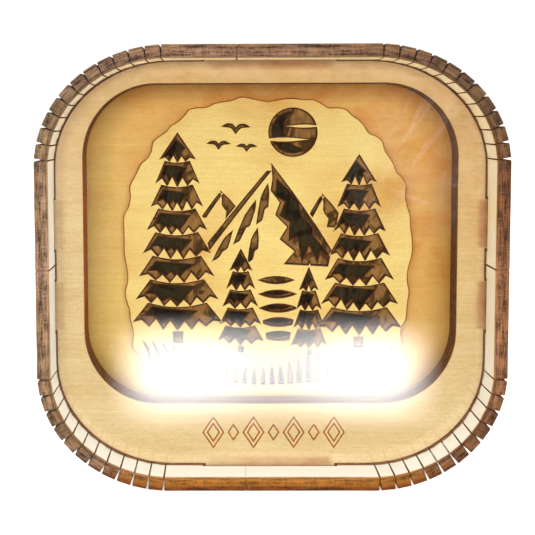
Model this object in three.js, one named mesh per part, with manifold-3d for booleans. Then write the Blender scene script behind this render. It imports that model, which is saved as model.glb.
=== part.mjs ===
// Laser-cut plywood display box: a kerf-bent rounded wall in four strips, a clear pane over a
// panel with a rounded window, and a forest picture of three pierced layers on a board behind it.
// Millimetres, +Z up, front towards -Y, origin at the middle of the base.
import * as THREE from "three";
import { mergeVertices } from "three/addons/utils/BufferGeometryUtils.js";
import Module from "manifold-3d";

// Driving dimensions of the box
const BOX_WIDTH = 137;
const BOX_HEIGHT = 130.2;
const BOX_DEPTH = 46;
const SHEET = 4; // plywood thickness, walls and panels alike
const PANE = 2; // clear acrylic
const LAYER = 2; // each layer of the picture
const GLUE = 0.1; // between sheets that lie on each other

// The stack inside the wall, as depths behind its front edge
const FRONT_RECESS = 12.5; // to the face of the front panel
const PICTURE_DEPTH = 29.7; // to the face of the picture

// Kerf-bent corners
const CORNER_TURNS = 12; // cuts that reach the front edge, in each corner
const CUT_PITCH = 4.36; // along the inner face
const BEND_SKEW = 0.053; // share of the bend that moves towards the sides
const KERF = 0.2; // at the inner face
const EDGE_CUT = 19; // length of the cuts that run in from the front and back edges
const INNER_CUT = 14; // length of the staggered cuts between them
const SEAM = 0.4;
const SEAM_TOP = -10; // where the strips meet, from the middle of the box
const SEAM_BOTTOM = -7.6;
const SEAM_SIDE = 0.1;

// Panels, tabs and window
const PANEL_GAP = 0.32; // panel edge to wall
const PANEL_CORNER = [35, 31.5]; // half axes of the rounding
const TAB_SHORT = 0.2; // tab end behind the wall's outer face
const SLOT_END = 0.5; // slot longer than its tab, each end
const SLOT_SIDE = 0.25; // slot deeper than the sheets in it, each side
const LONG_TAB = 39.2; // top and bottom
const SIDE_TAB = 14.9;
const SIDE_TAB_HEIGHTS = [12.3, -12.3];
const WINDOW_WIDTH = 111.7;
const WINDOW_HEIGHT = 96.4;
const WINDOW_CORNER = [22, 22];
const WINDOW_TOP_BORDER = 6.9;

// Derived places
const OUT_X = BOX_WIDTH / 2;
const OUT_Z = BOX_HEIGHT / 2;
const IN_X = OUT_X - SHEET;
const IN_Z = OUT_Z - SHEET;
const FRONT_Y = -BOX_DEPTH / 2;
const WINDOW_Z = IN_Z - WINDOW_TOP_BORDER - WINDOW_HEIGHT / 2;
const PANE_SPAN = [FRONT_RECESS - GLUE - PANE, FRONT_RECESS - GLUE];
const PANEL_SPAN = [FRONT_RECESS, FRONT_RECESS + SHEET];
const SPACER_SPAN = [PANEL_SPAN[1] + GLUE, PANEL_SPAN[1] + GLUE + SHEET];
const LAYER_SPANS = [0, 1, 2].map((k) => {
  const front = PICTURE_DEPTH + k * (LAYER + GLUE);
  return [front, front + LAYER];
});
const BACK_SPAN = [LAYER_SPANS[2][1] + GLUE, LAYER_SPANS[2][1] + GLUE + SHEET];
const THROUGH = [-1, BOX_DEPTH + 1];

const wasm = await Module();
wasm.setup();

// A three.js geometry as a solid that can be joined and cut.
function solidOf(geometry) {
  geometry.deleteAttribute("normal");
  geometry.deleteAttribute("uv");
  const merged = mergeVertices(geometry, 1e-4);
  return new wasm.Manifold(
    new wasm.Mesh({
      numProp: 3,
      vertProperties: merged.attributes.position.array,
      triVerts: new Uint32Array(merged.index.array),
    }),
  );
}

// An outline seen from the front, with points [x, z] from the middle of the box, cut from a sheet
// that lies between two depths behind the front edge.
function sheet(outline, [front, back]) {
  const shape = new THREE.Shape(outline.map(([x, z]) => new THREE.Vector2(x, z)));
  const geometry = new THREE.ExtrudeGeometry(shape, { depth: back - front, bevelEnabled: false });
  geometry.rotateX(Math.PI / 2);
  geometry.translate(0, FRONT_Y + back, OUT_Z);
  return solidOf(geometry);
}

function join(solids) {
  return solids.reduce((all, one) => all.add(one));
}

function meshOf(solid, name, material) {
  const { numProp, numVert, vertProperties, triVerts } = solid.getMesh();
  const positions = new Float32Array(numVert * 3);
  for (let i = 0; i < numVert; i++) {
    positions.set(vertProperties.subarray(i * numProp, i * numProp + 3), i * 3);
  }
  const geometry = new THREE.BufferGeometry();
  geometry.setAttribute("position", new THREE.BufferAttribute(positions, 3));
  geometry.setIndex(new THREE.BufferAttribute(triVerts, 1));
  geometry.computeVertexNormals();
  const mesh = new THREE.Mesh(geometry, material);
  mesh.name = name;
  return mesh;
}

function rectangle(x0, x1, z0, z1) {
  return [[x0, z0], [x1, z0], [x1, z1], [x0, z1]];
}

function roundedRectangle(halfWidth, halfHeight, [acrossCorner, upCorner], centreZ) {
  const path = new THREE.Path();
  const corners = [[1, -1, -90], [1, 1, 0], [-1, 1, 90], [-1, -1, 180]];
  for (const [sx, sz, start] of corners) {
    const x = sx * (halfWidth - acrossCorner);
    const z = centreZ + sz * (halfHeight - upCorner);
    const from = THREE.MathUtils.degToRad(start);
    path.absellipse(x, z, acrossCorner, upCorner, from, from + Math.PI / 2);
  }
  return path.getPoints(5).map((p) => [p.x, p.y]);
}

// The wall: each strip runs from seam to seam round one corner

// The wall's heading after a number of cuts, from level to straight down.
function heading(count) {
  const t = count / CORNER_TURNS;
  return (Math.PI / 2) * (t - BEND_SKEW * Math.sin(Math.PI * t));
}

// Places of the edge cuts along the inner face of the upper right corner, each with the angle of
// its outward bisector from straight up and the turn that it makes.
function cornerCuts() {
  const blocks = Array.from({ length: CORNER_TURNS - 1 }, (_, k) => heading(k + 1));
  const reach = CUT_PITCH * blocks.reduce((sum, angle) => sum + Math.cos(angle), 0);
  let x = IN_X - reach;
  let z = IN_Z;
  const cuts = [];
  for (let k = 0; k < CORNER_TURNS; k++) {
    const [before, after] = [heading(k), heading(k + 1)];
    cuts.push({ x, z, angle: (before + after) / 2, turn: after - before });
    x += CUT_PITCH * Math.cos(after);
    z -= CUT_PITCH * Math.sin(after);
  }
  return cuts;
}

// A slit across the wall's thickness, which widens outwards where the wall turns.
function slit({ x, z, angle, turn }, width) {
  const at = (across, out) => [
    x + across * Math.cos(angle) + out * Math.sin(angle),
    z - across * Math.sin(angle) + out * Math.cos(angle),
  ];
  const [inside, outside] = [-1, SHEET + 1];
  const half = (out) => width / 2 + out * Math.tan(turn / 2);
  return [
    at(-half(inside), inside),
    at(half(inside), inside),
    at(half(outside), outside),
    at(-half(outside), outside),
  ];
}

// Slots in the wall for the tabs of the sheets between two depths.
function tabSlots([front, back]) {
  const depths = [front - SLOT_SIDE, back + SLOT_SIDE];
  return tabOutlines(SLOT_END, 1).map((outline) => sheet(outline, depths));
}

// Outlines of the six tabs, longer by grow at each end and reaching past the wall by past.
function tabOutlines(grow, past) {
  const long = LONG_TAB / 2 + grow;
  const short = SIDE_TAB / 2 + grow;
  const root = PANEL_GAP + 2; // inside the panel's own edge
  const upDown = [
    rectangle(-long, long, IN_Z - root, OUT_Z + past),
    rectangle(-long, long, -OUT_Z - past, -IN_Z + root),
  ];
  const sides = SIDE_TAB_HEIGHTS.flatMap((z) => [
    rectangle(IN_X - root, OUT_X + past, z - short, z + short),
    rectangle(-OUT_X - past, -IN_X + root, z - short, z + short),
  ]);
  return [...upDown, ...sides];
}

function wallStrip(sx, sz, slots) {
  const cuts = cornerCuts();
  const mirror = (outline) => outline.map(([x, z]) => [x * sx, z * sz]);
  const seamX = (sz > 0 ? SEAM_TOP : SEAM_BOTTOM) * sx + SEAM / 2;
  const seamZ = SEAM_SIDE * sz + SEAM / 2;
  const inner = cuts.map(({ x, z }) => [x, z]);
  const outer = cuts.map(({ x, z, angle, turn }) => {
    const mitre = SHEET / Math.cos(turn / 2);
    return [x + mitre * Math.sin(angle), z + mitre * Math.cos(angle)];
  });
  const outline = [
    [seamX, IN_Z],
    ...inner,
    [IN_X, seamZ],
    [OUT_X, seamZ],
    ...outer.reverse(),
    [seamX, OUT_Z],
  ];
  const strip = sheet(mirror(outline), [0, BOX_DEPTH]);

  const openSlits = cuts.map((cut) => mirror(slit(cut, KERF)));
  const innerSlits = cuts.slice(1).map((cut, k) => {
    const [x, z] = [(cut.x + cuts[k].x) / 2, (cut.z + cuts[k].z) / 2];
    return mirror(slit({ x, z, angle: heading(k + 1), turn: 0 }, KERF));
  });
  const middleDepth = BOX_DEPTH / 2;
  const cutters = [
    ...openSlits.map((o) => sheet(o, [THROUGH[0], EDGE_CUT])),
    ...openSlits.map((o) => sheet(o, [BOX_DEPTH - EDGE_CUT, THROUGH[1]])),
    ...innerSlits.map((o) => sheet(o, [middleDepth - INNER_CUT / 2, middleDepth + INNER_CUT / 2])),
    ...slots,
  ];
  return cutters.reduce((left, cutter) => left.subtract(cutter), strip);
}

// Flat sheets

const PANEL_OUTLINE = roundedRectangle(IN_X - PANEL_GAP, IN_Z - PANEL_GAP, PANEL_CORNER, 0);
const WINDOW_OUTLINE = roundedRectangle(
  WINDOW_WIDTH / 2,
  WINDOW_HEIGHT / 2,
  WINDOW_CORNER,
  WINDOW_Z,
);

function plainSheet(span) {
  return sheet(PANEL_OUTLINE, span);
}

function tabbedSheet(span) {
  const tabs = tabOutlines(0, -TAB_SHORT).map((outline) => sheet(outline, span));
  return join([plainSheet(span), ...tabs]);
}

function windowHole(span) {
  return sheet(WINDOW_OUTLINE, [span[0] - 1, span[1] + 1]);
}

// The picture: outlines from the middle of the window. The light front layer is pierced, the brown
// middle layer shows through it, and smaller openings in that one show the dark layer.

// A small even wobble that keeps repeated shapes from looking stamped.
function wobble(index, kind = 0) {
  return Math.sin(12.99 * index + 4.1 * kind);
}

// The edge of a layer: an oval with a ragged rim, fuller towards its foot.
function oval(inset, ragged, count) {
  return Array.from({ length: count }, (_, k) => {
    const turn = (2 * Math.PI * k) / count;
    const waves = Math.sin(19 * turn + 0.4) + 0.8 * Math.sin(34 * turn + 1.3) + 0.7 * wobble(k);
    const size = 1 + ragged * waves;
    const [across, up] = [Math.cos(turn), Math.sin(turn)];
    const full = up > 0 ? 0.82 : 0.45;
    return [
      (45.5 - inset) * size * Math.sign(across) * Math.abs(across) ** full,
      -5 + (49.5 - inset) * size * Math.sign(up) * Math.abs(up) ** 0.82,
    ];
  });
}

// One skirt of branches hangs below the last one: a sagging upper edge, sides that slope to two
// tips, and a lower edge that sags as well. Heights of both edges, at a distance off the trunk.
function skirtEdges({ top, topHalf, topSag, hem, hemHalf, sag }) {
  const upper = (u) => {
    if (Math.abs(u) < topHalf) return top - topSag * (1 - (u / topHalf) ** 2);
    return hem + ((top - hem) * (hemHalf - Math.abs(u))) / (hemHalf - topHalf);
  };
  const lower = (u) => hem - sag * (1 - (u / hemHalf) ** 2);
  return { upper, at: (u, share) => lower(u) + share * (upper(u) - lower(u)) };
}

// The skirt's outline, with pointed twigs along its hem.
function skirt(shape) {
  const { x, topHalf, hemHalf, twigs, seed } = shape;
  const { upper, at } = skirtEdges(shape);
  const crown = topHalf ? [1, 0.5, 0, -0.5, -1] : [0];
  const hemline = Array.from({ length: 2 * twigs + 1 }, (_, i) => {
    const u = (i / twigs - 1) * hemHalf;
    return [x + u, at(u, i % 2 ? 0.4 + 0.08 * wobble(i, seed) : 0)];
  });
  return [...crown.map((t) => [x + t * topHalf, upper(t * topHalf)]), ...hemline];
}

// The dark opening inside a skirt, with a broad brown edge to its right.
function skirtCore(shape) {
  const { x, hemHalf, seed } = shape;
  const { at } = skirtEdges(shape);
  const edge = [
    [0.42, 0.72], [-0.1, 0.84], [-0.6, 0.8], [-0.8, 0.5], [-0.58, 0.42],
    [-0.38, 0.12], [-0.18, 0.44], [0.02, 0.12], [0.24, 0.46],
  ];
  return edge.map(([t, share], i) => {
    const u = t * hemHalf;
    return [x + u, at(u, share + 0.04 * wobble(i, seed))];
  });
}

// A spruce as a column of skirts with thin bare bands between them, and a trunk below.
function spruce({ x, top, foot, half, tiers, twigs }) {
  const trunk = 0.09 * (top - foot);
  const step = (top - foot - trunk) / (tiers + 0.15);
  const band = 0.9;
  const skirts = [];
  for (let k = 0; k < tiers; k++) {
    const above = skirts[k - 1];
    const hemHalf = half * (0.26 + 0.74 * ((k + 1) / tiers) ** 0.9);
    skirts.push({
      x: x + 0.25 * wobble(k, x),
      top: above ? above.hem - 0.45 * above.sag - band : top,
      topHalf: above ? 0.74 * above.hemHalf : 0,
      topSag: above ? 0.55 * above.sag : 0,
      hem: top - step * (k + 1),
      hemHalf,
      sag: 0.2 * hemHalf,
      twigs: Math.max(3, Math.round(twigs * (0.6 + (0.4 * (k + 1)) / tiers))),
      seed: k + x,
    });
  }
  const trunkHalf = 0.1 * half;
  const stem = rectangle(x - trunkHalf, x + trunkHalf, foot, foot + trunk * 0.55);
  return { outlines: [...skirts.map(skirt), stem], cores: skirts.map(skirtCore) };
}

// The plain strip of sheet that is kept round a spruce.
function spruceMargin({ x, top, foot, half }) {
  const edge = 1.5;
  const neck = top - (top - foot) * 0.17;
  return [
    [x, top + 3],
    [x - half * 0.3 - edge, neck],
    [x - half - edge, foot + 4],
    [x - half - edge, foot - 1],
    [x + half + edge, foot - 1],
    [x + half + edge, foot + 4],
    [x + half * 0.3 + edge, neck],
  ];
}

// The shaded side of a peak, between its right slope and a jagged ridge line.
function shadedSide({ x, top, foot, right }) {
  const height = top - foot;
  const slope = [0.3, 0.62, 1].map((t) => [
    x + right * t + 0.016 * height * wobble(t * 9, x),
    top - height * t ** 1.08,
  ]);
  const ridge = [];
  const jags = height > 20 ? 8 : 4;
  for (let i = jags; i >= 1; i--) {
    const t = i / jags;
    const jag = (i % 2 ? 1 : -0.7) * (0.016 + 0.066 * t) * height;
    ridge.push([x - 0.06 * right + 0.34 * right * t + jag, top - height * t * 0.97]);
  }
  return [[x, top], ...slope, ...ridge];
}

// The dark opening inside the shaded side, with spurs that run down from the ridge.
function shadedCore({ x, top, foot, right }) {
  const height = top - foot;
  const places = [
    [0.08, 0.15], [0.36, 0.35], [0.42, 0.5], [0.58, 0.62], [0.6, 0.71], [0.83, 0.9],
    [0.7, 0.84], [0.66, 0.96], [0.54, 0.78], [0.44, 0.95], [0.38, 0.7], [0.26, 0.74],
    [0.27, 0.56], [0.13, 0.5], [0.2, 0.36], [0.06, 0.3],
  ];
  return places.map(([across, down]) => [x + right * across, top - height * down]);
}

// A rock streak on the lit side: a long flame that follows the left slope.
function streak({ x, top, foot, left }, across, from, to) {
  const height = top - foot;
  const at = (t, offset) => [x - left * across * t + offset, top - height * t];
  const width = 1.1 + 1.6 * (to - from);
  const middle = (from + to) / 2;
  return [
    at(from, 0),
    at(middle - 0.06, -width * 0.55),
    at(to, -width * 0.25),
    at(to - 0.03, width * 0.3),
    at(middle + 0.05, width * 0.35),
    at(middle + 0.02, width * 0.85),
    at(from + 0.08, width * 0.5),
  ];
}

// The lit slope's own line, from the summit to the left foot.
function slopeLine({ x, top, foot, left }) {
  const height = top - foot;
  const along = [0.07, 0.3, 0.52, 0.74, 0.95];
  const sway = (k) => 0.015 * height * wobble(k, left);
  const at = (t, k, offset) => [x - left * t + sway(k) + offset, top - height * t ** 1.05];
  const outer = along.map((t, k) => at(t, k, -0.2 - 0.016 * height * t));
  const inner = along.map((t, k) => at(t, k, 0.3 + 0.026 * height * t)).reverse();
  return [...outer, ...inner];
}

function peak(shape, nearest) {
  const streaks = [
    [0.3, 0.2, 0.56],
    [0.6, 0.36, 0.76],
    [0.3, 0.64, 0.95],
    [0.78, 0.66, 0.93],
  ];
  const rocks = nearest ? streaks.map((place) => streak(shape, ...place)) : [];
  return [shadedSide(shape), slopeLine(shape), ...rocks];
}

function peakMargin({ x, top, foot, left, right }) {
  return [[x, top + 3], [x - left - 3, foot - 2], [x + right + 3, foot - 2]];
}

// A pointed lens, such as a ripple on water or a bar of cloud.
function lens(x, z, halfLength, halfHeight) {
  const curve = [-1, -0.6, -0.2, 0.2, 0.6, 1];
  const upper = curve.map((t) => [x + t * halfLength, z + halfHeight * (1 - t * t)]);
  const lower = curve.slice(1, -1).reverse();
  return [...upper, ...lower.map((t) => [x + t * halfLength, z - halfHeight * (1 - t * t)])].reverse();
}

// A blade of grass that bends as it rises.
function blade(x, foot, height, lean) {
  const half = 0.17 * height ** 0.8;
  return [
    [x - half, foot],
    [x + half, foot],
    [x + half * 0.9 + lean * 0.28, foot + height * 0.5],
    [x + lean, foot + height],
    [x - half * 0.7 + lean * 0.22, foot + height * 0.5],
  ];
}

function bladeCore(x, foot, height, lean) {
  const half = 0.08 * height ** 0.8;
  return [[x - half, foot + 0.6], [x + half, foot + 0.6], [x + lean * 0.5, foot + height * 0.7]];
}

// A bird far off: two raised wings.
function bird(x, z, span) {
  const wing = [
    [0.3, 0.32], [0.65, 0.36], [1, 0.22], [0.62, 0.2], [0.32, 0.1],
  ];
  const right = wing.map(([u, v]) => [x + span * u, z + span * v]);
  const left = wing.map(([u, v]) => [x - span * u, z + span * (v + 0.04)]).reverse();
  return [[x, z], ...right, [x, z - span * 0.26], ...left];
}

function disc(x, z, radius) {
  const path = new THREE.Path();
  path.absarc(x, z, radius, 0, 2 * Math.PI);
  return path.getPoints(12).slice(0, -1).map((p) => [p.x, p.y]);
}

const SPRUCES = [
  { x: -28.5, top: 33, foot: -33.5, half: 13.6, tiers: 8, twigs: 6 },
  { x: 29, top: 26, foot: -35, half: 12.8, tiers: 7, twigs: 6 },
  { x: -8.4, top: -4, foot: -36.5, half: 7, tiers: 5, twigs: 4 },
  { x: 13.4, top: -10, foot: -37.5, half: 5.4, tiers: 4, twigs: 4 },
];
const PEAKS = [
  { x: 1.5, top: 23, foot: -9, left: 25, right: 22 },
  { x: -14.5, top: 14.5, foot: 6.5, left: 6, right: 7 },
  { x: 17.5, top: 13.5, foot: 3.5, left: 6, right: 8 },
];
const MOON = { x: 8, z: 33.5, radius: 7.4 };
const RIPPLES = 5;
const BLADES = 26;

function pictureOpenings() {
  const piece = (outline) => sheet(outline.map(([x, z]) => [x, z + WINDOW_Z]), THROUGH);
  const pieces = (outlines) => join(outlines.map(piece));

  const trees = SPRUCES.map(spruce);
  const treeMargins = pieces(SPRUCES.map(spruceMargin));

  const ranges = PEAKS.map((shape, k) => {
    const nearer = PEAKS.slice(0, k).map(peakMargin);
    const range = pieces(peak(shape, k === 0));
    return nearer.length ? range.subtract(pieces(nearer)) : range;
  });

  const clouds = pieces([lens(5, 31.2, 9, 1), lens(11.6, 35.4, 7, 0.85)]);
  const moon = piece(disc(MOON.x, MOON.z, MOON.radius)).subtract(clouds);
  const birds = [bird(-10, 34.5, 3.8), bird(-15.4, 29.4, 3), bird(-6.6, 28.6, 2.5)];

  const crescent = piece(disc(MOON.x, MOON.z, MOON.radius - 1)).subtract(
    join([piece(disc(MOON.x + 3.4, MOON.z + 1.2, MOON.radius - 1)), clouds]),
  );

  const ripples = Array.from({ length: RIPPLES }, (_, k) => {
    const x = 2.8 + wobble(k);
    return [x, -13.4 - 4.5 * k, 4.2 + 0.5 * k + 0.9 * wobble(k, 2), 0.95 + 0.1 * k];
  });
  const rippleCore = ([x, z, length, height]) => lens(x - 0.1 * length, z, 0.66 * length, 0.55 * height);
  const grass = Array.from({ length: BLADES }, (_, k) => {
    const x = -36.5 + (73 * k) / (BLADES - 1);
    const height = 7 + 2.1 * wobble(k) + 2.2 * (x / 42) ** 2;
    return [x, -47 + 7 * (x / 42) ** 2, height, 0.06 * x + 1.1 * wobble(k, 1)];
  });

  const scenery = join([...ranges, pieces(ripples.map((r) => lens(...r)))]).subtract(treeMargins);
  return {
    front: join([
      ...trees.map(({ outlines }) => pieces(outlines)),
      scenery,
      moon,
      pieces(birds),
      pieces(grass.map((place) => blade(...place))),
    ]),
    middle: join([
      ...trees.map(({ cores }) => pieces(cores)),
      piece(shadedCore(PEAKS[0])),
      crescent,
      pieces(ripples.slice(1).map(rippleCore)),
      pieces(grass.filter((_, k) => k % 3).map((place) => bladeCore(...place))),
    ]),
  };
}

function pictureLayer(inset, ragged, count, span) {
  return sheet(oval(inset, ragged, count).map(([x, z]) => [x, z + WINDOW_Z]), span);
}

// Pieces

function birch(color, roughness = 0.62) {
  return new THREE.MeshStandardMaterial({ color, roughness, metalness: 0 });
}

const wallBirch = birch(0xe6d3a8);
const panelBirch = birch(0xe2c18a);
const pictureBirch = birch(0xe8cb84);
const brownStain = birch(0x86633e, 0.68);
const darkStain = birch(0x2d2a24, 0.7);
const backBirch = birch(0xcda660);
const clearAcrylic = new THREE.MeshStandardMaterial({
  color: 0xf6fafa,
  roughness: 0.05,
  metalness: 0,
  transparent: true,
  opacity: 0.2,
});

const slots = [...tabSlots([PANE_SPAN[0], PANEL_SPAN[1]]), ...tabSlots(BACK_SPAN)];
const frontPanel = tabbedSheet(PANEL_SPAN).subtract(windowHole(PANEL_SPAN));
const spacerFrame = plainSheet(SPACER_SPAN).subtract(windowHole(SPACER_SPAN));
const openings = pictureOpenings();
const pictureFront = pictureLayer(0, 0.01, 104, LAYER_SPANS[0]).subtract(openings.front);
const pictureMiddle = pictureLayer(1.8, 0, 36, LAYER_SPANS[1]).subtract(openings.middle);
const pictureGround = pictureLayer(1.8, 0, 36, LAYER_SPANS[2]);

const box = new THREE.Group();
box.add(
  meshOf(wallStrip(-1, 1, slots), "wall_top_left", wallBirch),
  meshOf(wallStrip(1, 1, slots), "wall_top_right", wallBirch),
  meshOf(wallStrip(-1, -1, slots), "wall_bottom_left", wallBirch),
  meshOf(wallStrip(1, -1, slots), "wall_bottom_right", wallBirch),
  meshOf(tabbedSheet(PANE_SPAN), "clear_pane", clearAcrylic),
  meshOf(frontPanel, "front_panel", panelBirch),
  meshOf(spacerFrame, "spacer_frame", panelBirch),
  meshOf(pictureFront, "picture_front", pictureBirch),
  meshOf(pictureMiddle, "picture_middle", brownStain),
  meshOf(pictureGround, "picture_ground", darkStain),
  meshOf(tabbedSheet(BACK_SPAN), "back_panel", backBirch),
);

export default box;
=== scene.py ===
import math

import bmesh
import bpy
import numpy as np
from mathutils import Matrix, Vector
from mathutils.bvhtree import BVHTree
from mathutils.geometry import delaunay_2d_cdt
from mathutils.kdtree import KDTree


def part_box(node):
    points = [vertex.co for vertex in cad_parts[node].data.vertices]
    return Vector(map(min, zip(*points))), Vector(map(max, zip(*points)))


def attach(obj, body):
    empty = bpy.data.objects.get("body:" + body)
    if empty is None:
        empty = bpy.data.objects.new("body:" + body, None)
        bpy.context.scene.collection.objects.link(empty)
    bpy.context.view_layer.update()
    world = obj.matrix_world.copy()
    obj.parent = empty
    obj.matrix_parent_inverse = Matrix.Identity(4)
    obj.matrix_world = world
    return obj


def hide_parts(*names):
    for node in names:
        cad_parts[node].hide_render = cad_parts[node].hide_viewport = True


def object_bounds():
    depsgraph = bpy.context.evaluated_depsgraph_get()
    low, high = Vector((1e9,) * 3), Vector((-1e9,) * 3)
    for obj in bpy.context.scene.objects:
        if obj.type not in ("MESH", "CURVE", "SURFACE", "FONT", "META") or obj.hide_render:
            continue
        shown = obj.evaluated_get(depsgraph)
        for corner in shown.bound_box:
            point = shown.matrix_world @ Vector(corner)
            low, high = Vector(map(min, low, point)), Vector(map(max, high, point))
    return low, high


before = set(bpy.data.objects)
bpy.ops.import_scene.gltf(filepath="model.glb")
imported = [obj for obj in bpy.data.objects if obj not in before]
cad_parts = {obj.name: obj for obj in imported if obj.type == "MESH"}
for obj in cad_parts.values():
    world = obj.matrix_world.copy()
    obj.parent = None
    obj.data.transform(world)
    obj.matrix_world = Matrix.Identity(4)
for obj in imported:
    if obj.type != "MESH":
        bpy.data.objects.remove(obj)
cad_low, cad_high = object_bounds()

# Sizes, in metres
MM = 0.001
WELD = 1e-7
FILL_TOLERANCE = 1e-7  # in millimetres
SHEET = 4 * MM
SCORCHED_RIM = 0.22 * MM  # width of the burnt chamfer round a cut
RIM_DEPTH = 0.12 * MM
PICTURE_RIM = 0.38 * MM  # the same round the picture's openings
PANE_RIM = 0.1 * MM  # width of the chamfer round the pane, coloured dark as painted shade
SNUG = 0.18 * MM  # how much closer the panel and the pane come to the wall
BLOCK_ROUNDING = 0.26 * MM  # on the edges of the bent walls
SLIT_WIDTH = 0.2 * MM  # at the inner face, before the bend draws it shut
SLIT_SHUT = 0.48  # share of its width that each side of a slit moves in
SEAM_SHUT = 0.18 * MM  # how far each strip end comes towards its seam
LOW_SEAM_X = -7.6 * MM  # the seam in the bottom, whose lips stay pale
LOW_SEAM_TOP = 6 * MM
LOW_SEAM_REACH = 1 * MM
SCORE_WIDTH = 0.42 * MM  # lines burnt into the panel's face
SCORE_DEPTH = 0.14 * MM
FLOOR_HALF = 4.0
FLOOR_DROP = 0.1 * MM

# Angles, and cosines of the angles between a face and a direction
SMOOTH_ANGLE = math.radians(15)
FLAT_ANGLE = math.radians(0.4)  # faces this close to one plane are joined
EASED_ANGLE = math.radians(30)  # edges of the wall sharper than this are rounded
LOOKS_FORWARD = 0.9
LOOKS_INWARD = 0.93
ON_VENEER = 0.955  # the wall's inner and outer faces, without their rounded edges
ASIDE = 0.1  # nearly at right angles

# Light
ROOM_LIGHT = 1.1
DARK_SIDE_LIGHT = 0.03
BACKDROP_LIGHT = 1.05
OVERHEAD_WATTS = 1.5
FRONT_WATTS = 11.7
GLARE_WATTS = 0.54
SMEAR_WATTS = 6.0
FLOOR_GLOW = 0.5
OVERHEAD_PLACE = (0.05, -0.42, 0.72)
FRONT_PLACE = (-0.05, -1.0, 0.14)
GLARE_PLACE = Vector((0.0045, -0.075, 0.0165))
SMEAR_PLACE = (0.45, -0.82, 0.25)

# Camera
CAMERA_PLACE = (-0.0145, -0.3121, 0.1096)
CAMERA_YAW, CAMERA_PITCH, CAMERA_ROLL = 0.43, -4.14, -0.19  # degrees
SENSOR_WIDTH, FOCAL_LENGTH = 36, 67.96  # millimetres
LENS_SHIFT = (0.1, -0.1456)

BOX_MIDDLE = (cad_low + cad_high) / 2
BOX_HALF = (cad_high - cad_low) / 2
PANEL_LOW, PANEL_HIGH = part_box("front_panel")


# Outlines of flat sheets

def cut_outlines(node):
    """The closed cut lines of a flat sheet, as (x, z) points with the wood on their left."""
    sheet = bmesh.new()
    sheet.from_mesh(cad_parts[node].data)
    bmesh.ops.remove_doubles(sheet, verts=sheet.verts, dist=WELD)
    sheet.normal_update()
    follows = {}
    for face in sheet.faces:
        if face.normal.y > -LOOKS_FORWARD:
            continue
        for corner in face.loops:
            if corner.link_loop_radial_next.face.normal.y > -LOOKS_FORWARD:
                follows[corner.vert] = corner.link_loop_next.vert
    outlines = []
    while follows:
        first, place = follows.popitem()
        points = [first.co.xz]
        while place is not first:
            points.append(place.co.xz)
            place = follows.pop(place)
        outlines.append(np.array(points, float))
    sheet.free()
    return sorted(outlines, key=lambda outline: (-np.ptp(outline, axis=0).sum(), outline[0][0]))


def unit(vectors):
    """The vectors at a length of one."""
    return vectors / np.linalg.norm(vectors, axis=-1, keepdims=True)


def rounded(outline):
    """The outline with its gentle corners drawn out into curves. Sharp corners stay."""
    sharp, fine = 38, 4  # degrees
    long_run = 2.5  # a side this many times its neighbour's length stays straight
    ahead = np.roll(outline, -1, axis=0) - outline
    length = np.linalg.norm(ahead, axis=1)
    along = unit(ahead)
    count = len(outline)
    curve = []

    def tangent(k, own):
        before, after = (k - 1) % count, k % count
        cosine = float(np.clip(along[before] @ along[after], -1, 1))
        if math.degrees(math.acos(cosine)) > sharp:
            return along[own]
        if length[before] > long_run * length[after]:
            return along[before]
        if length[after] > long_run * length[before]:
            return along[after]
        return unit(along[before] * length[before] + along[after] * length[after])

    for k in range(count):
        start, end = outline[k], outline[(k + 1) % count]
        leave, arrive = tangent(k, k), tangent((k + 1) % count, k)
        swing = sum(math.acos(np.clip(way @ along[k], -1, 1)) for way in (leave, arrive))
        steps = max(1, math.ceil(math.degrees(swing) / fine))
        for t in np.arange(steps) / steps:
            curve.append(
                (2 * t**3 - 3 * t**2 + 1) * start
                + (t**3 - 2 * t**2 + t) * length[k] * leave
                + (3 * t**2 - 2 * t**3) * end
                + (t**3 - t**2) * length[k] * arrive
            )
    return np.array(curve)


def inset(outline, distance):
    """The outline moved into the wood on its left, with long mitres held back."""
    least_opening, longest_mitre = 0.08, 2.6
    along = unit(np.roll(outline, -1, axis=0) - outline)
    left = np.stack([-along[:, 1], along[:, 0]], axis=1)
    before = np.roll(left, 1, axis=0)
    mitre = (left + before) / (1 + np.sum(left * before, axis=1, keepdims=True)).clip(least_opening)
    reach = np.linalg.norm(mitre, axis=1, keepdims=True)
    return outline + distance * mitre * np.minimum(1, longest_mitre / reach)


def lies_inside(points, outlines):
    """True for the points that an odd number of the outlines go round."""
    inside = np.zeros(len(points), bool)
    for outline in outlines:
        start, end = outline, np.roll(outline, -1, axis=0)
        above = (start[:, 1] > points[:, 1:2]) != (end[:, 1] > points[:, 1:2])
        rise = np.where(end[:, 1] == start[:, 1], 1, end[:, 1] - start[:, 1])
        crossing = start[:, 0] + (points[:, 1:2] - start[:, 1]) * (end[:, 0] - start[:, 0]) / rise
        inside ^= (np.sum(above & (points[:, :1] < crossing), axis=1) % 2).astype(bool)
    return inside


def flat_fill(outlines):
    """Triangles over the wood between outlines, as corner points and index triples."""
    corners = [Vector(point) for outline in outlines for point in outline / MM]
    edges = []
    for outline in outlines:
        first = len(edges)
        edges += [(first + k, first + (k + 1) % len(outline)) for k in range(len(outline))]
    corners, _, faces, *_ = delaunay_2d_cdt(corners, edges, [], 0, FILL_TOLERANCE)
    corners = np.array([tuple(corner) for corner in corners]) * MM
    faces = np.array(faces)
    middles = corners[faces].mean(axis=1)
    return corners, faces[lies_inside(middles, outlines)]


# Pieces from outlines and from the bent walls

FACE, CUT, LINE = 0, 1, 2  # places of a piece's materials


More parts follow.
